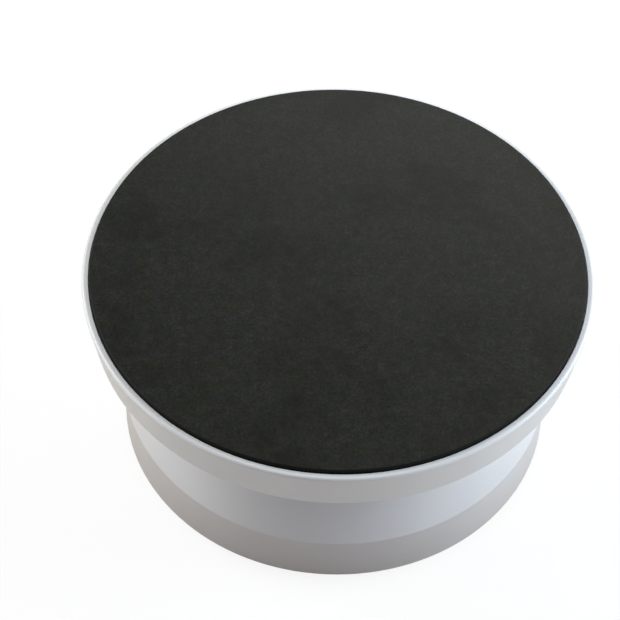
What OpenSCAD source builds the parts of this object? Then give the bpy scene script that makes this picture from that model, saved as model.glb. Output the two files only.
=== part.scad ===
// Hand-turned display stand: a round skirted top disc with a non-slip pad turns on a
// caged ball ring and a centre spindle, over a hollow base with a conical waist.
// Origin at the centre of the footprint, on the surface that the feet rest on. +Z up, mm.

/* [Top disc] */
// Outer diameter of the top disc
disc_d = 180; // [160:1:220]
// Overall height, from the surface under the feet to the top of the pad
overall_h = 80; // [66:0.5:100]
// Height of the disc from its rim to the bottom of its skirt
skirt_h = 17.6; // [12:0.2:22]
// How far the skirt draws in from the rim to its bottom edge, on the radius
skirt_draft = 2.7; // [0:0.1:4]
// Wall of the skirt
skirt_wall = 2.6; // [1.6:0.1:4]
// Thickness of the disc under the pad
plate_t = 2.8; // [2:0.1:4]
// Width of the whole rim, from the pad's edge to the disc's outside
rim_w = 2.8; // [2:0.1:6]
// Radius of the rim's outer edge
rim_edge_r = 1.1; // [0.4:0.1:2]

/* [Pad] */
// Thickness of the pad
pad_t = 2.5; // [2.3:0.1:4]
// How far the pad stands above the rim
pad_proud = 1.6; // [0:0.1:2]
// Thickness of the adhesive film under the pad
glue_t = 0.2; // [0.1:0.05:0.5]

/* [Base] */
// Diameter of the base band
base_d = 155; // [128:1:190]
// Diameter of the waist where it meets the deck
neck_d = 122; // [115:1:126]
// Height of the straight band
band_h = 20; // [12:0.5:26]
// Gap between the surface and the band's bottom edge
base_clear = 2.5; // [1.5:0.1:5]
// Wall of the base
base_wall = 2.5; // [1.8:0.1:4]
// Thickness of the bottom cover
cover_t = 2.5; // [1.8:0.1:4]

/* [Ball ring] */
// Diameter of one ball
ball_d = 6; // [4:0.2:8]
// Diameter of the circle that the ball centres lie on
ball_circle_d = 96; // [70:1:100]
// Number of balls
ball_count = 24; // [12:1:28]
// Thickness of each race
race_t = 2; // [1.6:0.1:3]
// Depth of the groove in each race
groove_depth = 1; // [0.5:0.1:1.2]
// Gap between a ball and its groove
groove_play = 0.1; // [0.05:0.01:0.2]

/* [Spindle] */
// Diameter of the spindle
spindle_d = 12; // [8:0.2:16]
// Radial running clearance of the spindle in its bush
spindle_play = 0.05; // [0.02:0.01:0.09]
// Length of the hub tube under the deck's well
hub_h = 25.5; // [14:0.5:32]
// Depth of the well in the deck
well_depth = 8.5; // [7:0.5:14]
// Axial play between the turning and the still parts
end_play = 0.3; // [0.2:0.05:0.6]

/* [Feet and screws] */
// Number of feet, and of cover screws between them
foot_count = 5; // [3:1:5]
// Diameter of one foot
foot_d = 16; // [10:0.5:22]
// Shank diameter of every screw
screw_d = 3; // [2.5:0.1:4]
// Number of screws that hold the spindle
spindle_screw_count = 4; // [3:1:6]

/* [Hidden] */
$fn = 96;

// Cuts reach this far past the face that they open
over = 1;
// Loose fit of a piece dropped into its seat
seat_fit = 0.3;
// Close fit of a piece pushed home by hand
push_fit = 0.02;
// Steps in a rounded edge
round_steps = 6;

// Radii of the main turned shapes
disc_r = disc_d / 2;
pad_r = disc_r - rim_w;
base_r = base_d / 2;
neck_r = neck_d / 2;
ball_r = ball_d / 2;
ball_circle_r = ball_circle_d / 2;
spindle_r = spindle_d / 2;
screw_r = screw_d / 2;

// Heights, worked down from the top of the pad
pad_z = overall_h - pad_t;
plate_top = pad_z - glue_t;
plate_under = plate_top - plate_t;
rim_top = overall_h - pad_proud;
skirt_bottom = rim_top - skirt_h;
upper_race_z = plate_under - race_t;
race_gap = ball_d - 2 * groove_depth;
ball_z = upper_race_z - race_gap / 2;
lower_race_z = ball_z - race_gap / 2 - race_t;
deck_top = lower_race_z;

// Races and cage
groove_r = ball_r + groove_play;
race_side = 1.5;
race_in = ball_circle_r - ball_r - race_side;
race_out = ball_circle_r + ball_r + race_side;
race_chamfer = 0.3;
cage_gap = 0.6;
cage_h = race_gap - 2 * cage_gap;
cage_inset = 0.5;
pocket_play = 0.15;
race_lip_w = 2;
race_lip_h = 1;
race_lip_r = race_out + seat_fit / 2;

// Rounded and broken edges
lip_break = 0.25;
skirt_edge_r = 0.8;
skirt_fillet = 2;
pad_edge_r = 0.5;
glue_inset = 1;
band_edge_r = 1;
neck_break = 1;
foot_edge_r = 1;

// Disc ribs and centre boss
rib_t = 1.8;
rib_h = 4;
outer_ribs = 12;
inner_ribs = 8;
rib_gap = 0.6;
boss_drop = 8;
boss_wall = 2.5;
flange_t = 3;
flange_w = 12;
flange_r = spindle_r + flange_w;
boss_margin = 2;
boss_r = flange_r + boss_margin;
boss_bottom = plate_under - boss_drop;
post_wall = 2.1;
post_r = screw_r + post_wall;
post_inset = 4;
post_circle_r = flange_r - post_inset;
post_turn = 45;
pilot_play = 0.05;

// Spindle, bush and retaining parts, worked from the well's floor
well_margin = 4;
well_r = boss_r + well_margin;
well_floor = deck_top - well_depth;
bush_wall = 2;
bush_r = spindle_r + spindle_play + bush_wall;
bush_flange_t = 1.5;
bush_flange_w = 3;
bush_flange_r = bush_r + bush_flange_w;
hub_wall = 4.5;
hub_r = bush_r + hub_wall;
hub_bottom = well_floor - hub_h;
flange_bottom = boss_bottom - flange_t;
washer_t = 1;
thrust_z = well_floor + bush_flange_t + end_play;
collar_w = 3.5;
collar_r = spindle_r + collar_w;
collar_bottom = thrust_z + washer_t;
washer_play = 0.15;
lower_washer_inset = 2.5;
lower_washer_z = hub_bottom - end_play - washer_t;
ring_t = 1;
ring_play = 0.05;
ring_z = lower_washer_z - ring_t;
ring_groove_depth = 0.7;
ring_groove_r = spindle_r - ring_groove_depth;
ring_w = 2;
ring_out = spindle_r + ring_w;
ring_lug_r = 1.9;
ring_lug_hole_r = 0.7;
ring_gap_angle = 70;
ring_lug_turn = 8;
spindle_tail = 4;
spindle_end = ring_z - spindle_tail;
spindle_chamfer = 1;

// Waist and band of the base
band_top = base_clear + band_h;
waist_slope = (base_r - neck_r) / (deck_top - band_top);
waist_wall = base_wall * sqrt(1 + waist_slope * waist_slope);
deck_t = base_wall;
deck_under = deck_top - deck_t;
base_ribs = 10;
base_rib_h = 14;
base_rib_t = 2;

// Cover, feet and screws
cover_inset = 0.5;
cover_z = base_clear + cover_inset;
cover_r = base_r - base_wall - seat_fit;
cover_ring_gap = 8;
cover_ring_r = hub_r + cover_ring_gap;
cover_ring_t = 2;
cover_ring_h = 3;
foot_r = foot_d / 2;
foot_recess = 1;
foot_inset = 18;
foot_circle_r = base_r - foot_inset;
foot_top = cover_z + foot_recess;
foot_recess_r = foot_r + seat_fit / 2;
foot_angle = 360 / foot_count;
tower_r = 4;
tower_inset = 10;
tower_circle_r = base_r - tower_inset;
tower_h = 36;
tower_z = cover_z + cover_t;
head_r = 2 * screw_r;
head_h = 1.8;
head_round = 0.8;
cross_w = 0.8;
cross_l = 3.4;
cross_depth = 1.1;
counterbore = 1.2;
cover_screw_l = 11;
post_floor = 2;
pilot_tail = 1;
spindle_screw_l = flange_t + boss_drop - post_floor;

function arc(cx, cy, r, a0, a1) =
    [for (i = [0:round_steps]) let (a = a0 + (a1 - a0) * i / round_steps)
        [cx + r * cos(a), cy + r * sin(a)]];

// Outer radius of the waist at a height
function waist_r(z) = base_r - waist_slope * (z - band_top);

// A flat ring between two radii
module ring(r_out, r_in, z, h) {
    translate([0, 0, z])
    difference() {
        cylinder(r = r_out, h = h);
        translate([0, 0, -over]) cylinder(r = r_in, h = h + 2 * over);
    }
}

// A flat radial rib between two radii
module radial_rib(r_in, r_out, z, h, t) {
    translate([r_in, -t / 2, z]) cube([r_out - r_in, t, h]);
}

// Copies its children evenly around the axis
module around(count, first = 0) {
    for (i = [0:count - 1])
        rotate([0, 0, first + i * 360 / count]) children();
}

// A cross-head screw that points up, with its head's seat at z = 0
module screw(length) {
    difference() {
        union() {
            cylinder(r = screw_r, h = length);
            rotate_extrude()
                polygon(concat(
                    [[0, 0], [0, -head_h]],
                    arc(head_r - head_round, -head_h + head_round, head_round, 270, 360),
                    [[head_r, 0]]));
        }
        for (turn = [0, 90])
            rotate([0, 0, turn])
                translate([-cross_l / 2, -cross_w / 2, -head_h - over])
                    cube([cross_l, cross_w, cross_depth + over]);
    }
}

// One race with its groove, its flat back at z = 0 and its groove facing up
module race() {
    difference() {
        rotate_extrude()
            polygon([
                [race_in, 0], [race_out, 0], [race_out, race_t - race_chamfer],
                [race_out - race_chamfer, race_t], [race_in + race_chamfer, race_t],
                [race_in, race_t - race_chamfer]]);
        translate([0, 0, race_t + race_gap / 2])
            rotate_extrude() translate([ball_circle_r, 0]) circle(r = groove_r);
    }
}

// A flat washer on the spindle
module washer(z, r_out) {
    ring(r_out, spindle_r + washer_play, z, washer_t);
}

// Thin closed-cell pad with a softened edge
module grip_pad() {
    color("#2a2b29")
    rotate_extrude()
        polygon(concat(
            [[0, pad_z], [pad_r, pad_z]],
            arc(pad_r - pad_edge_r, overall_h - pad_edge_r, pad_edge_r, 0, 90),
            [[0, overall_h]]));
}

// Double-sided film that holds the pad
module pad_adhesive() {
    color("#c9c2ae")
    translate([0, 0, plate_top]) cylinder(r = pad_r - glue_inset, h = glue_t);
}

// Skirt, rim and web of the disc as one turned wall
module plate_wall() {
    skirt_r = disc_r - skirt_draft;
    skirt_in = skirt_r - skirt_wall;
    web_in = disc_r - skirt_wall - rim_edge_r;
    seat_r = pad_r + seat_fit;
    rotate_extrude()
        polygon(concat(
            [[0, plate_under], [0, plate_top], [seat_r, plate_top]],
            [[seat_r, rim_top - lip_break], [seat_r + lip_break, rim_top]],
            arc(disc_r - rim_edge_r, rim_top - rim_edge_r, rim_edge_r, 90, 0),
            arc(skirt_r - skirt_edge_r, skirt_bottom + skirt_edge_r, skirt_edge_r, 0, -90),
            arc(skirt_in + skirt_edge_r, skirt_bottom + skirt_edge_r, skirt_edge_r, 270, 180),
            arc(web_in - skirt_fillet, plate_under - skirt_fillet, skirt_fillet, 0, 90)));
}

// Centre boss: two rings, screw posts and the ribs between them
module plate_boss() {
    post_ring_r = post_circle_r - post_r;
    ring(boss_r, boss_r - boss_wall, boss_bottom, boss_drop);
    ring(post_ring_r, post_ring_r - boss_wall, boss_bottom, boss_drop);
    around(spindle_screw_count, post_turn) {
        translate([post_circle_r, 0, boss_bottom]) cylinder(r = post_r, h = boss_drop);
        radial_rib(post_ring_r - boss_wall / 2, boss_r - boss_wall / 2, boss_bottom, boss_drop, rib_t);
    }
}

// Moulded top disc with its skirt, ribs, race seat and centre boss
module turntable_plate() {
    rib_z = plate_under - rib_h;
    outer_rib_in = race_lip_r + race_lip_w / 2;
    outer_rib_out = disc_r - skirt_draft - skirt_wall / 2;
    color("#f0f0f2")
    difference() {
        union() {
            plate_wall();
            plate_boss();
            ring(race_lip_r + race_lip_w, race_lip_r, plate_under - race_lip_h, race_lip_h);
            around(outer_ribs, 180 / outer_ribs)
                radial_rib(outer_rib_in, outer_rib_out, rib_z, rib_h, rib_t);
            around(inner_ribs, 180 / inner_ribs)
                radial_rib(boss_r - boss_wall / 2, race_in - rib_gap, rib_z, rib_h, rib_t);
        }
        around(spindle_screw_count, post_turn)
            translate([post_circle_r, 0, boss_bottom - over])
                cylinder(r = screw_r + pilot_play, h = spindle_screw_l - flange_t + pilot_tail + over);
    }
}

// Race fixed under the disc, groove down
module upper_race() {
    color("#b9bcc0")
    translate([0, 0, plate_under]) mirror([0, 0, 1]) race();
}

// Steel spindle: screwed flange, shoulder, shaft and ring groove
module spindle() {
    color("#c4c7cb")
    difference() {
        rotate_extrude()
            polygon([
                [0, boss_bottom], [flange_r, boss_bottom], [flange_r, flange_bottom],
                [collar_r, flange_bottom], [collar_r, collar_bottom], [spindle_r, collar_bottom],
                [spindle_r, ring_z + ring_t + ring_play], [ring_groove_r, ring_z + ring_t + ring_play],
                [ring_groove_r, ring_z - ring_play], [spindle_r, ring_z - ring_play],
                [spindle_r, spindle_end + spindle_chamfer], [spindle_r - spindle_chamfer, spindle_end],
                [0, spindle_end]]);
        around(spindle_screw_count, post_turn)
            translate([post_circle_r, 0, flange_bottom - over])
                cylinder(r = screw_r + washer_play, h = flange_t + 2 * over);
    }
}

// Screws that hold the spindle's flange to the disc's boss
module spindle_screws() {
    color("#9a9da1")
    around(spindle_screw_count, post_turn)
        translate([post_circle_r, 0, flange_bottom]) screw(spindle_screw_l);
}

// Slip washer between the spindle's shoulder and the bush
module thrust_washer() {
    color("#e6e2d4") washer(thrust_z, collar_r);
}

// Washer between the hub tube and the retaining ring
module lower_washer() {
    color("#b4b7bb") washer(lower_washer_z, hub_r - lower_washer_inset);
}

// Open ring with two lugs, sprung into the spindle's groove
module retaining_ring() {
    lug_circle_r = (ring_out + ring_groove_r) / 2 + ring_lug_r / 2;
    lug_turn = ring_gap_angle / 2 + ring_lug_turn;
    wedge_x = 2 * ring_out * cos(ring_gap_angle / 2);
    wedge_y = 2 * ring_out * sin(ring_gap_angle / 2);
    color("#55585c")
    translate([0, 0, ring_z])
    difference() {
        union() {
            difference() {
                ring(ring_out, ring_groove_r + ring_play, 0, ring_t);
                translate([0, 0, -over])
                    linear_extrude(ring_t + 2 * over)
                        polygon([[0, 0], [wedge_x, -wedge_y], [wedge_x, wedge_y]]);
            }
            for (side = [-1, 1])
                rotate([0, 0, side * lug_turn])
                    translate([lug_circle_r, 0, 0]) cylinder(r = ring_lug_r, h = ring_t);
        }
        translate([0, 0, -over]) cylinder(r = ring_groove_r + ring_play, h = ring_t + 2 * over);
        for (side = [-1, 1])
            rotate([0, 0, side * lug_turn])
                translate([lug_circle_r, 0, -over]) cylinder(r = ring_lug_hole_r, h = ring_t + 2 * over);
    }
}

// Cage that spaces the balls
module ball_cage() {
    color("#d8d4c6")
    difference() {
        ring(race_out - cage_inset, race_in + cage_inset, ball_z - cage_h / 2, cage_h);
        around(ball_count)
            translate([ball_circle_r, 0, ball_z - cage_h / 2 - over])
                cylinder(r = ball_r + pocket_play, h = cage_h + 2 * over);
    }
}

// The balls, one solid each
module bearing_balls() {
    color("#cfd2d6")
    around(ball_count)
        translate([ball_circle_r, 0, ball_z]) sphere(r = ball_r);
}

// Race seated on the deck, groove up
module lower_race() {
    color("#b9bcc0")
    translate([0, 0, lower_race_z]) race();
}

// Flanged plain bush in the hub tube
module hub_bush() {
    color("#a98a4f")
    rotate_extrude()
        polygon([
            [spindle_r + spindle_play, hub_bottom], [bush_r, hub_bottom], [bush_r, well_floor],
            [bush_flange_r, well_floor], [bush_flange_r, well_floor + bush_flange_t],
            [spindle_r + spindle_play, well_floor + bush_flange_t]]);
}

// Band, waist, deck, well and hub tube as one turned wall
module shell_wall() {
    hub_bore_r = bush_r + push_fit;
    rotate_extrude()
        polygon(concat(
            [[base_r - base_wall, base_clear]],
            arc(base_r - band_edge_r, base_clear + band_edge_r, band_edge_r, 270, 360),
            [[base_r, band_top], [waist_r(deck_top - neck_break), deck_top - neck_break]],
            [[neck_r - neck_break, deck_top], [race_lip_r + race_lip_w, deck_top]],
            [[race_lip_r + race_lip_w, deck_top + race_lip_h], [race_lip_r, deck_top + race_lip_h]],
            [[race_lip_r, deck_top]],
            [[well_r, deck_top], [well_r, well_floor], [hub_bore_r, well_floor]],
            [[hub_bore_r, hub_bottom], [hub_r, hub_bottom], [hub_r, well_floor - deck_t]],
            [[well_r + deck_t, well_floor - deck_t], [well_r + deck_t, deck_under]],
            [[waist_r(deck_under) - waist_wall, deck_under]],
            [[base_r - base_wall, band_top - (waist_wall - base_wall) / waist_slope]]));
}

// The space inside the base's outer faces, for trimming what stands inside
module shell_envelope() {
    rotate_extrude()
        polygon([
            [0, base_clear], [base_r - base_wall / 2, base_clear], [base_r - base_wall / 2, band_top],
            [waist_r(deck_under) - waist_wall / 2, deck_under + deck_t / 2],
            [0, deck_under + deck_t / 2]]);
}

// Screw towers joined to the band, and ribs under the deck
module shell_stiffeners() {
    rib_in = well_r + deck_t / 2;
    rib_z = deck_under - base_rib_h;
    intersection() {
        union() {
            around(foot_count, foot_angle / 2) {
                translate([tower_circle_r, 0, tower_z]) cylinder(r = tower_r, h = tower_h);
                radial_rib(tower_circle_r, base_r, tower_z, tower_h, rib_t);
            }
            around(base_ribs)
                radial_rib(rib_in, base_r, rib_z, base_rib_h + deck_t / 2, base_rib_t);
        }
        shell_envelope();
    }
}

// Moulded base: band, conical waist, deck, hub tube, ribs and screw towers
module base_shell() {
    color("#ececef")
    difference() {
        union() {
            shell_wall();
            shell_stiffeners();
        }
        around(foot_count, foot_angle / 2)
            translate([tower_circle_r, 0, tower_z - over])
                cylinder(r = screw_r + pilot_play, h = cover_screw_l + over);
    }
}

// Bottom cover with foot recesses and counterbored screw holes
module base_cover() {
    color("#e4e4e7")
    difference() {
        union() {
            translate([0, 0, cover_z]) cylinder(r = cover_r, h = cover_t);
            ring(cover_ring_r + cover_ring_t, cover_ring_r, cover_z + cover_t - over, cover_ring_h + over);
        }
        around(foot_count)
            translate([foot_circle_r, 0, cover_z - over])
                cylinder(r = foot_recess_r, h = foot_recess + over);
        around(foot_count, foot_angle / 2)
            translate([tower_circle_r, 0, cover_z - over]) {
                cylinder(r = screw_r + washer_play, h = cover_t + 2 * over);
                cylinder(r = head_r + seat_fit, h = counterbore + over);
            }
    }
}

// Screws that hold the cover to the base's towers
module cover_screws() {
    color("#9a9da1")
    around(foot_count, foot_angle / 2)
        translate([tower_circle_r, 0, cover_z + counterbore]) screw(cover_screw_l);
}

// One rubber foot in its recess, by its place around the cover
module foot(place) {
    color("#3a3a3c")
    rotate([0, 0, (place - 1) * foot_angle])
        translate([foot_circle_r, 0, 0])
            rotate_extrude()
                polygon(concat(
                    [[0, foot_top], [0, 0]],
                    arc(foot_r - foot_edge_r, foot_edge_r, foot_edge_r, 270, 360),
                    [[foot_r, foot_top]]));
}

grip_pad();
pad_adhesive();
turntable_plate();
upper_race();
spindle();
spindle_screws();
thrust_washer();
lower_washer();
retaining_ring();
ball_cage();
bearing_balls();
lower_race();
hub_bush();
base_shell();
base_cover();
cover_screws();
foot(1);  // foot_1
foot(2);  // foot_2
foot(3);  // foot_3
foot(4);  // foot_4
foot(5);  // foot_5
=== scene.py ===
"""Looks of the hand-turned display stand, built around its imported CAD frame.

White satin moulded plastic, a frosted closed-cell pad, rubber feet and steel bearing parts,
on a pale seamless floor under soft studio light.
"""

import math

import bmesh
import bpy
from mathutils import Matrix, Vector, noise


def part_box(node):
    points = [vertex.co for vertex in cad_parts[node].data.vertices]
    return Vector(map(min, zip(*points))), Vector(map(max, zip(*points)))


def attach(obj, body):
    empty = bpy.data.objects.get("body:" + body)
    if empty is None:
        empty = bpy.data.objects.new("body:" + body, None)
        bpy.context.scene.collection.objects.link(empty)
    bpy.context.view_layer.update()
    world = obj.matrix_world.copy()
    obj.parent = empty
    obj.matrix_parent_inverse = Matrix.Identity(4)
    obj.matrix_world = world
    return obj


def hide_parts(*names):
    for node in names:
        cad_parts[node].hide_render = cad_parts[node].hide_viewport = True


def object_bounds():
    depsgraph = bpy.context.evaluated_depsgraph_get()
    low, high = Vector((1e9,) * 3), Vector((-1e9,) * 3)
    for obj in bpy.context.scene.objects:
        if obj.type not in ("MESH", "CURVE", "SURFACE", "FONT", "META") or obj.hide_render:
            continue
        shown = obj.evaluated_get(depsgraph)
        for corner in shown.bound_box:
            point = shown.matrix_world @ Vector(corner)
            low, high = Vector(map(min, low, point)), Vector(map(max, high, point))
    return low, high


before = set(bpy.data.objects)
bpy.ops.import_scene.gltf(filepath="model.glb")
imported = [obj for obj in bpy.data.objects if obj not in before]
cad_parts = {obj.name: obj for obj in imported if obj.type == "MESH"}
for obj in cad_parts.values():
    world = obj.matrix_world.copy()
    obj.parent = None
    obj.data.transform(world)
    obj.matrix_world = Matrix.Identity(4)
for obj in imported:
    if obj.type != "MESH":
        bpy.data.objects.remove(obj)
cad_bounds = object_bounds()

MM = 0.001
WHITE = (1, 1, 1)

# Camera angles: how steeply it looks down, and its turn about its own line of sight
CAMERA_ELEVATION = math.radians(50.7)
CAMERA_ROLL = math.radians(1.2)
# Its distance from its aim, the middle of the top, and its slide from there to the right and up
CAMERA_DISTANCE = 876.5 * MM
CAMERA_SLIDE = (-9.6 * MM, -15.0 * MM)
# Focal length and sensor width, both in mm as Blender takes them
CAMERA_LENS = 145.2
CAMERA_SENSOR = 36.0

# Surroundings: the tint and strength that light the stand, and the strength that the camera sees
ROOM_TINT = (1.0, 0.95, 0.93)
ROOM_STRENGTH = 0.10
BACKDROP_STRENGTH = 1.0

# Floor: half its side, its divisions, the tint of the light that it throws up, and the glow
# and grey that the camera sees
FLOOR_REACH = 6.0
FLOOR_SEGMENTS = 8
FLOOR_BOUNCE = (0.66, 0.60, 0.54)
FLOOR_GLOW = 0.88
FLOOR_GREY = (0.15, 0.15, 0.15)

# Point that every softbox faces, and their distance from it
LIGHT_AIM = Vector((0, 0, 40 * MM))
LIGHT_DISTANCE = 1.3
# Softboxes: azimuth clockwise from behind the stand, elevation, width and height, watts, tint
SOFTBOXES = {
    "back": (25, 32, (1.4, 0.8), 6.3, (0.97, 0.98, 1.0)),
    "right": (85, 25, (0.9, 0.7), 16.8, (0.82, 0.925, 1.0)),
    "left": (-85, 25, (0.9, 0.7), 4.9, (1.0, 1.0, 0.92)),
    "left_rear": (-65, 30, (0.7, 0.7), 9.2, (0.95, 0.99, 1.0)),
    "front": (180, 20, (1.0, 0.5), 1.3, (0.62, 0.70, 1.0)),
}

# Heights and radii up to 1 / RAMP_SCALE metres fit a tint ramp
RAMP_SCALE = 10.0

# Height of the base's straight band
BAND_HEIGHT = 20 * MM

# Pad mesh: radius of its rounded edge, and how finely it is divided
PAD_EDGE_R = 0.4 * MM
PAD_UNDER_RINGS = 8
PAD_SIDE_STEPS = 4
PAD_EDGE_STEPS = 6
PAD_RINGS = 150
PAD_SEGMENTS = 360

# Unevenness of the pad's face: its depth, and the distance from the edge over which it fades
PAD_WAVE = 0.05 * MM
PAD_WAVE_FADE = 4 * MM
# Shares of that depth: how low the face lies on average, and its swing about that
PAD_WAVE_MEAN = 0.7
PAD_WAVE_SWING = 0.5
# Waves per metre, broad and fine, and the strength of the fine ones beside the broad ones
PAD_BROAD_WAVES = 22
PAD_FINE_WAVES = 90
PAD_FINE_SHARE = 0.4
# Level of the noise that the fine waves are read at, so that they don't repeat the broad ones
PAD_FINE_LEVEL = 0.3


# ---------------------------------------------------------------- node helpers

def new_material(name):
    """An empty node material with its Principled shader: (material, node adder, linker, shader)."""
    material = bpy.data.materials.new(name)
    material.use_nodes = True
    tree = material.node_tree
    shader = tree.nodes["Principled BSDF"]

    def add(kind, inputs=None, **settings):
        made = tree.nodes.new(kind)
        for key, value in settings.items():
            setattr(made, key, value)
        for key, value in (inputs or {}).items():
            made.inputs[key].default_value = value
        return made

    return material, add, tree.links.new, shader


def set_inputs(shader, values):
    """Sets the shader's own sockets, for what is the same all over a surface."""
    for key, value in values.items():
        shader.inputs[key].default_value = value


def ramp(add, link, source, stops):
    """A colour ramp fed by source, with (place, grey or RGB) stops."""
    made = add("ShaderNodeValToRGB")
    elements = made.color_ramp.elements
    while len(elements) < len(stops):
        elements.new(0.5)
    for element, (place, value) in zip(elements, stops):
        rgb = value if hasattr(value, "__len__") else (value,) * 3
        element.position = place
        element.color = (*rgb, 1)
    link(source, made.inputs["Fac"])
    return made.outputs["Color"]


def ramp_at(add, link, distance, stops):
    """A colour ramp fed by a height or radius in metres, with (metres, grey or RGB) stops."""
    place = add("ShaderNodeMath", {1: RAMP_SCALE}, operation="MULTIPLY")
    link(distance, place.inputs[0])
    placed = [(metres * RAMP_SCALE, value) for metres, value in stops]
    return ramp(add, link, place.outputs[0], placed)


def varied(add, link, source, value, start, end, low, high):
    """A grey or RGB value varied by source: times low up to start, and times high from end."""
    def scaled(factor):
        if hasattr(value, "__len__"):
            return tuple(min(1, part * factor) for part in value)
        return value * factor

    return ramp(add, link, source, [(start, scaled(low)), (end, scaled(high))])


def noise_at(add, link, where, scale, detail=3.0, roughness=0.55):
    """Noise over the coordinates where, with scale in features per metre."""
    made = add("ShaderNodeTexNoise", {"Scale": scale, "Detail": detail, "Roughness": roughness})
    link(where, made.inputs["Vector"])
    return made.outputs["Fac"]


def mix(add, link, factor, a, b, blend="MIX"):
    """A colour mix of a and b, which are sockets or RGB values."""
    made = add("ShaderNodeMix", data_type="RGBA", blend_type=blend)
    for key, value in (("Factor", factor), ("A", a), ("B", b)):
        named = [socket for socket in made.inputs if socket.name == key]
        socket = next(s for s in named if key == "Factor" or s.type == "RGBA")
        if hasattr(value, "links"):
            link(value, socket)
        else:
            socket.default_value = (*value, 1) if hasattr(value, "__len__") else value
    return next(s for s in made.outputs if s.type == "RGBA")


def bump(add, link, shader, heights):
    """Stacks bumps on the shader: (height socket, strength, depth in metres)."""
    last = None
    for height, strength, depth in heights:
        made = add("ShaderNodeBump", {"Strength": strength, "Distance": depth})
        link(height, made.inputs["Height"])
        if last:
            link(last, made.inputs["Normal"])
        last = made.outputs["Normal"]
    link(last, shader.inputs["Normal"])


def split_by_ray(tree, out_kind, lit, seen):
    """Shows the shader seen to the camera, and lights the scene with the shader lit."""
    out = tree.nodes.new(out_kind)
    choose = tree.nodes.new("ShaderNodeMixShader")
    path = tree.nodes.new("ShaderNodeLightPath")
    tree.links.new(path.outputs["Is Camera Ray"], choose.inputs["Fac"])
    tree.links.new(lit.outputs[0], choose.inputs[1])
    tree.links.new(seen.outputs[0], choose.inputs[2])
    tree.links.new(choose.outputs[0], out.inputs["Surface"])


# ---------------------------------------------------------------- materials

def satin_plastic(name, tint, rough, painted_light_bands=()):
    """White moulded plastic: faint colour drift, fine spark texture and slight handling marks.

    The height bands paint light and shade onto it: (height, RGB factor) stops, lowest first.
    """
    material, add, link, shader = new_material(name)
    where = add("ShaderNodeTexCoord").outputs["Object"]
    drift = noise_at(add, link, where, scale=14, detail=2)
    spark = noise_at(add, link, where, scale=2600)
    marks = noise_at(add, link, where, scale=90, detail=5, roughness=0.65)
    base = varied(add, link, drift, tint, start=0.35, end=0.7, low=0.965, high=1.02)
    # Painted light and shade by height, from the height bands
    if painted_light_bands:
        level = add("ShaderNodeSeparateXYZ")
        link(where, level.inputs[0])
        wear_and_painted_light = ramp_at(add, link, level.outputs["Z"], painted_light_bands)
        base = mix(add, link, 1.0, base, wear_and_painted_light, "MULTIPLY")
    link(base, shader.inputs["Base Color"])
    handled = varied(add, link, marks, rough, start=0.35, end=0.7, low=0.85, high=1.15)
    link(handled, shader.inputs["Roughness"])
    set_inputs(shader, {
        "IOR": 1.5,
        "Specular IOR Level": 0.5,
        "Subsurface Weight": 0.08,
        "Subsurface Radius": (1.0, 0.9, 0.85),
        "Subsurface Scale": 0.6 * MM,
    })
    bump(add, link, shader, [(spark, 0.12, 0.03 * MM), (drift, 0.3, 0.15 * MM)])
    return material


def frosted_pad(radius):
    """Frosted black closed-cell sheet: fine mottled grain, broad smudges and a matt cut edge
    darkened with painted shade.
    """
    material, add, link, shader = new_material("frosted_pad")
    where = add("ShaderNodeTexCoord").outputs["Object"]
    grain = noise_at(add, link, where, scale=1000, roughness=0.8)
    mottle = noise_at(add, link, where, scale=330, detail=4, roughness=0.7)
    smudge = noise_at(add, link, where, scale=34, detail=6, roughness=0.62)
    tone = noise_at(add, link, where, scale=210, roughness=0.6)

    mottle_share = 0.35
    pit, mean, peak = (0.0042, 0.0044, 0.0027), (0.0115, 0.0119, 0.0086), (0.0270, 0.0275, 0.0216)
    fine = mix(add, link, mottle_share, grain, mottle)
    base = ramp(add, link, fine, [(0.35, pit), (0.50, mean), (0.65, peak)])

    smudged = (0.58, 0.60, 0.58)
    wear_and_painted_light = ramp(add, link, smudge, [(0.36, smudged), (0.50, WHITE)])
    base = mix(add, link, 1.0, base, wear_and_painted_light, "MULTIPLY")

    olive, violet = (0.90, 1.03, 0.78), (1.08, 0.98, 1.30)
    cast = ramp(add, link, tone, [(0.40, olive), (0.60, violet)])
    base = mix(add, link, 1.0, base, cast, "MULTIPLY")

    # The cut edge, known by its distance from the axis: matt, and darkened with painted shade
    flat = add("ShaderNodeVectorMath", {1: (1, 1, 0)}, operation="MULTIPLY")
    reach = add("ShaderNodeVectorMath", operation="LENGTH")
    link(where, flat.inputs[0])
    link(flat.outputs[0], reach.inputs[0])
    face_r, cut_r = radius - 0.5 * MM, radius - 0.2 * MM
    cut = ramp_at(add, link, reach.outputs["Value"], [(face_r, 0.0), (cut_r, 1.0)])
    edge_shade_tint, cut_rough = (0.0035, 0.0037, 0.0033), (0.85, 0.85, 0.85)
    link(mix(add, link, cut, base, edge_shade_tint), shader.inputs["Base Color"])
    face_rough = ramp(add, link, fine, [(0.32, 0.31), (0.68, 0.37)])
    link(mix(add, link, cut, face_rough, cut_rough), shader.inputs["Roughness"])

    set_inputs(shader, {
        "IOR": 1.45,
        "Specular IOR Level": 0.40,
        "Specular Tint": (1.0, 0.99, 0.92, 1),
    })
    bump(add, link, shader, [(grain, 0.20, 0.08 * MM), (mottle, 0.22, 0.12 * MM)])
    return material


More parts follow.
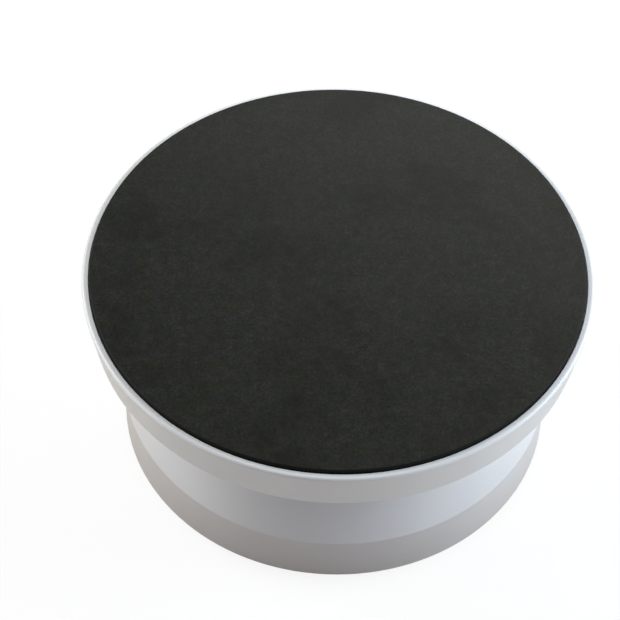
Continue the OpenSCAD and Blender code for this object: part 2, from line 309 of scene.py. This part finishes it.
def rubber(name):
    """Moulded black rubber: matt, with a soft grain and dusty patches."""
    material, add, link, shader = new_material(name)
    where = add("ShaderNodeTexCoord").outputs["Object"]
    grain = noise_at(add, link, where, scale=1800, detail=4, roughness=0.6)
    patches = noise_at(add, link, where, scale=150, detail=4)
    clean, dusty = (0.028, 0.028, 0.030), (0.055, 0.054, 0.052)
    base = ramp(add, link, patches, [(0.35, clean), (0.72, dusty)])
    link(base, shader.inputs["Base Color"])
    link(ramp(add, link, grain, [(0.3, 0.62), (0.7, 0.82)]), shader.inputs["Roughness"])
    bump(add, link, shader, [(grain, 0.4, 0.06 * MM)])
    return material


def turned_metal(name, tint, rough, ring_depth, metallic=1.0):
    """Metal turned on a lathe: fine rings round the stand's axis, and soft stains."""
    material, add, link, shader = new_material(name)
    where = add("ShaderNodeTexCoord").outputs["Object"]
    rings = add(
        "ShaderNodeTexWave",
        {"Scale": 900.0, "Distortion": 1.2, "Detail": 2.0, "Detail Scale": 40.0},
        wave_type="RINGS", rings_direction="Z", wave_profile="SIN")
    link(where, rings.inputs["Vector"])
    stain = noise_at(add, link, where, scale=180, detail=5)
    base = varied(add, link, stain, tint, start=0.35, end=0.7, low=0.86, high=1)
    link(base, shader.inputs["Base Color"])
    shine = varied(add, link, stain, rough, start=0.3, end=0.75, low=0.8, high=1.25)
    link(shine, shader.inputs["Roughness"])
    set_inputs(shader, {"Metallic": metallic})
    bump(add, link, shader, [(rings.outputs["Fac"], 0.25, ring_depth), (stain, 0.1, 0.02 * MM)])
    return material


def natural_plastic(name, tint, rough):
    """Unpainted engineering plastic: slightly cloudy colour and a matt moulded surface."""
    material, add, link, shader = new_material(name)
    where = add("ShaderNodeTexCoord").outputs["Object"]
    cloud = noise_at(add, link, where, scale=120, detail=4)
    grain = noise_at(add, link, where, scale=2200)
    base = varied(add, link, cloud, tint, start=0.3, end=0.7, low=0.9, high=1)
    link(base, shader.inputs["Base Color"])
    matt = varied(add, link, grain, rough, start=0.3, end=0.7, low=0.9, high=1.1)
    link(matt, shader.inputs["Roughness"])
    set_inputs(shader, {"Subsurface Weight": 0.1, "Subsurface Scale": 0.8 * MM})
    bump(add, link, shader, [(grain, 0.2, 0.04 * MM)])
    return material


# ---------------------------------------------------------------- geometry helpers

def link_mesh(name, mesh):
    """A new object that holds the mesh, in the scene."""
    made = bpy.data.objects.new(name, mesh)
    bpy.context.scene.collection.objects.link(made)
    return made


def turned_mesh(name, profile, segments, lift):
    """A closed mesh turned about +Z from (radius, height) points that start and end on the axis.

    lift(x, y, height) gives what is added to a point's height.
    """
    bm = bmesh.new()
    rows = []
    for radius, height in profile:
        row = []
        for k in range(1 if radius == 0 else segments):
            angle = 2 * math.pi * k / segments
            x, y = radius * math.cos(angle), radius * math.sin(angle)
            row.append(bm.verts.new((x, y, height + lift(x, y, height))))
        rows.append(row)
    for row, following in zip(rows, rows[1:]):
        for k in range(segments):
            n = k + 1
            corners = [row[k % len(row)], row[n % len(row)],
                       following[n % len(following)], following[k % len(following)]]
            # Next to the axis two corners are one point, and the face is a triangle
            bm.faces.new(list(dict.fromkeys(corners)))
    bmesh.ops.recalc_face_normals(bm, faces=bm.faces)
    mesh = bpy.data.meshes.new(name)
    bm.to_mesh(mesh)
    bm.free()
    for face in mesh.polygons:
        face.use_smooth = True
    return link_mesh(name, mesh)


# ---------------------------------------------------------------- pieces

def make_pad():
    """The non-slip pad: flat underneath, with a rounded edge and a very slightly uneven face."""
    low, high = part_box("grip_pad")
    radius, bottom, top = high.x, low.z, high.z
    flat_r, side_top = radius - PAD_EDGE_R, top - PAD_EDGE_R

    def undulate(x, y, height):
        if height == bottom:
            return 0
        fade = min(1.0, (radius - math.hypot(x, y)) / PAD_WAVE_FADE)
        broad = noise.noise(Vector((x, y, 0)) * PAD_BROAD_WAVES)
        fine = noise.noise(Vector((x, y, PAD_FINE_LEVEL)) * PAD_FINE_WAVES)
        wave = broad + PAD_FINE_SHARE * fine
        return -PAD_WAVE * fade * (PAD_WAVE_MEAN + PAD_WAVE_SWING * wave)

    under = [(radius * k / PAD_UNDER_RINGS, bottom) for k in range(PAD_UNDER_RINGS + 1)]
    side = [(radius, bottom + (side_top - bottom) * k / PAD_SIDE_STEPS)
            for k in range(1, PAD_SIDE_STEPS)]
    angles = [math.pi / 2 * k / PAD_EDGE_STEPS for k in range(PAD_EDGE_STEPS + 1)]
    edge = [(flat_r + PAD_EDGE_R * math.cos(a), side_top + PAD_EDGE_R * math.sin(a))
            for a in angles]
    face = [(flat_r * (1 - k / PAD_RINGS), top) for k in range(1, PAD_RINGS + 1)]
    pad = turned_mesh("frosted_pad", under + side + edge + face, PAD_SEGMENTS, undulate)
    pad.data.materials.append(frosted_pad(radius))
    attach(pad, "turntable")
    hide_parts("grip_pad")


def top_plastic():
    """The disc's plastic, with a painted highlight: a little paler on the flat of its rim."""
    rim_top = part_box("turntable_plate")[1].z
    painted_highlight = (1.08, 1.08, 1.08)
    return satin_plastic("white_plastic_top", (0.87, 0.87, 0.88), 0.34, [
        # Painted highlight on the flat of the rim, just below its top
        (rim_top - 0.6 * MM, WHITE),
        (rim_top - 0.1 * MM, painted_highlight),
    ])


def base_plastic():
    """The base's plastic, a little darker than the disc's, with painted shade: darker and warmer on
    its straight band and most so at its foot.
    """
    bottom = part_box("base_shell")[0].z
    crease = bottom + BAND_HEIGHT
    # Painted shade: a tint a little darker than the disc's, and the straight band darker and warmer,
    # most so at its foot
    return satin_plastic("white_plastic_base", (0.80, 0.795, 0.815), 0.38, [
        (bottom, (0.83, 0.795, 0.765)),
        (bottom + 0.8 * BAND_HEIGHT, (0.895, 0.875, 0.86)),
        (crease - 0.4 * MM, (0.90, 0.88, 0.865)),
        (crease + 0.1 * MM, WHITE),
    ])


def dress_cad_nodes():
    """Gives every CAD node that stays its material."""
    white_top = top_plastic()
    white_base = base_plastic()
    white_cover = satin_plastic("white_plastic_cover", (0.70, 0.70, 0.71), 0.52)
    steel = turned_metal("race_steel", (0.60, 0.61, 0.62), 0.34, 0.02 * MM)
    shaft = turned_metal("spindle_steel", (0.66, 0.67, 0.68), 0.26, 0.015 * MM)
    zinc = turned_metal("screw_steel", (0.55, 0.56, 0.58), 0.38, 0.01 * MM)
    spring = turned_metal("spring_steel", (0.075, 0.08, 0.085), 0.42, 0.01 * MM, metallic=0.8)
    balls = turned_metal("ball_steel", (0.74, 0.75, 0.76), 0.09, 0.001 * MM)
    bronze = turned_metal("bush_bronze", (0.56, 0.40, 0.19), 0.46, 0.02 * MM)
    acetal = natural_plastic("acetal", (0.76, 0.73, 0.64), 0.48)
    film = natural_plastic("adhesive", (0.62, 0.58, 0.49), 0.6)
    feet = rubber("foot_rubber")
    looks = {
        "turntable_plate": white_top, "base_shell": white_base, "base_cover": white_cover,
        "upper_race": steel, "lower_race": steel, "lower_washer": steel, "spindle": shaft,
        "spindle_screws": zinc, "cover_screws": zinc, "retaining_ring": spring,
        "bearing_balls": balls, "hub_bush": bronze, "ball_cage": acetal,
        "thrust_washer": acetal, "pad_adhesive": film,
    }
    for name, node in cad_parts.items():
        # Only grip_pad has no look here, because make_pad replaces it
        look = feet if name.startswith("foot_") else looks.get(name)
        if look:
            node.data.materials.clear()
            node.data.materials.append(look)


# ---------------------------------------------------------------- stage

def make_camera():
    """The camera in front of and above the stand, slid aside from its aim at the top's middle."""
    low, high = cad_bounds
    aim = Vector(((low.x + high.x) / 2, (low.y + high.y) / 2, high.z))
    forward = Vector((0, math.cos(CAMERA_ELEVATION), -math.sin(CAMERA_ELEVATION)))
    right = Vector((1, 0, 0))
    up = right.cross(forward)
    slide_right, slide_up = CAMERA_SLIDE
    place = aim - forward * CAMERA_DISTANCE + right * slide_right + up * slide_up
    turned_right = right * math.cos(CAMERA_ROLL) + up * math.sin(CAMERA_ROLL)
    turned_up = up * math.cos(CAMERA_ROLL) - right * math.sin(CAMERA_ROLL)
    data = bpy.data.cameras.new("camera")
    data.lens = CAMERA_LENS
    data.sensor_width = CAMERA_SENSOR
    data.dof.use_dof = False
    camera = bpy.data.objects.new("camera", data)
    camera.matrix_world = Matrix((
        (turned_right.x, turned_up.x, -forward.x, place.x),
        (turned_right.y, turned_up.y, -forward.y, place.y),
        (turned_right.z, turned_up.z, -forward.z, place.z),
        (0, 0, 0, 1)))
    bpy.context.scene.collection.objects.link(camera)
    bpy.context.scene.camera = camera


def make_floor():
    """A pale seamless floor: bright to the camera, with a softer, warmer bounce on the stand."""
    bm = bmesh.new()
    bmesh.ops.create_grid(bm, x_segments=FLOOR_SEGMENTS, y_segments=FLOOR_SEGMENTS, size=FLOOR_REACH)
    mesh = bpy.data.meshes.new("floor")
    bm.to_mesh(mesh)
    bm.free()
    floor = link_mesh("floor", mesh)
    material = bpy.data.materials.new("floor")
    material.use_nodes = True
    tree = material.node_tree
    tree.nodes.clear()
    bounce = tree.nodes.new("ShaderNodeBsdfDiffuse")
    grey = tree.nodes.new("ShaderNodeBsdfDiffuse")
    glow = tree.nodes.new("ShaderNodeEmission")
    seen = tree.nodes.new("ShaderNodeAddShader")
    bounce.inputs["Color"].default_value = (*FLOOR_BOUNCE, 1)
    grey.inputs["Color"].default_value = (*FLOOR_GREY, 1)
    glow.inputs["Color"].default_value = (*WHITE, 1)
    glow.inputs["Strength"].default_value = FLOOR_GLOW
    tree.links.new(glow.outputs[0], seen.inputs[0])
    tree.links.new(grey.outputs[0], seen.inputs[1])
    split_by_ray(tree, "ShaderNodeOutputMaterial", lit=bounce, seen=seen)
    mesh.materials.append(material)


def make_room():
    """Surroundings that light the stand faintly and look white to the camera."""
    world = bpy.data.worlds.new("studio")
    bpy.context.scene.world = world
    world.use_nodes = True
    tree = world.node_tree
    tree.nodes.clear()
    room = tree.nodes.new("ShaderNodeBackground")
    backdrop = tree.nodes.new("ShaderNodeBackground")
    room.inputs["Color"].default_value = (*ROOM_TINT, 1)
    room.inputs["Strength"].default_value = ROOM_STRENGTH
    backdrop.inputs["Color"].default_value = (*WHITE, 1)
    backdrop.inputs["Strength"].default_value = BACKDROP_STRENGTH
    split_by_ray(tree, "ShaderNodeOutputWorld", lit=room, seen=backdrop)


def softbox(name, azimuth, elevation, size, power, tint):
    """A rectangular light that faces LIGHT_AIM and that the camera doesn't see."""
    turn, rise = math.radians(azimuth), math.radians(elevation)
    level = math.cos(rise)
    outward = Vector((math.sin(turn) * level, math.cos(turn) * level, math.sin(rise)))
    place = LIGHT_AIM + outward * LIGHT_DISTANCE
    data = bpy.data.lights.new(name, "AREA")
    data.shape = "RECTANGLE"
    data.size, data.size_y = size
    data.energy = power
    data.color = tint
    light = bpy.data.objects.new(name, data)
    light.location = place
    light.rotation_mode = "QUATERNION"
    light.rotation_quaternion = (LIGHT_AIM - place).to_track_quat("-Z", "Y")
    light.visible_camera = False
    bpy.context.scene.collection.objects.link(light)


def make_light():
    """Softboxes all round, strongest on the right and dimmest in front, in plain colours."""
    for name, settings in SOFTBOXES.items():
        softbox(name, *settings)
    bpy.context.scene.view_settings.view_transform = "Standard"


make_camera()
make_room()
make_light()
make_floor()
dress_cad_nodes()
make_pad()
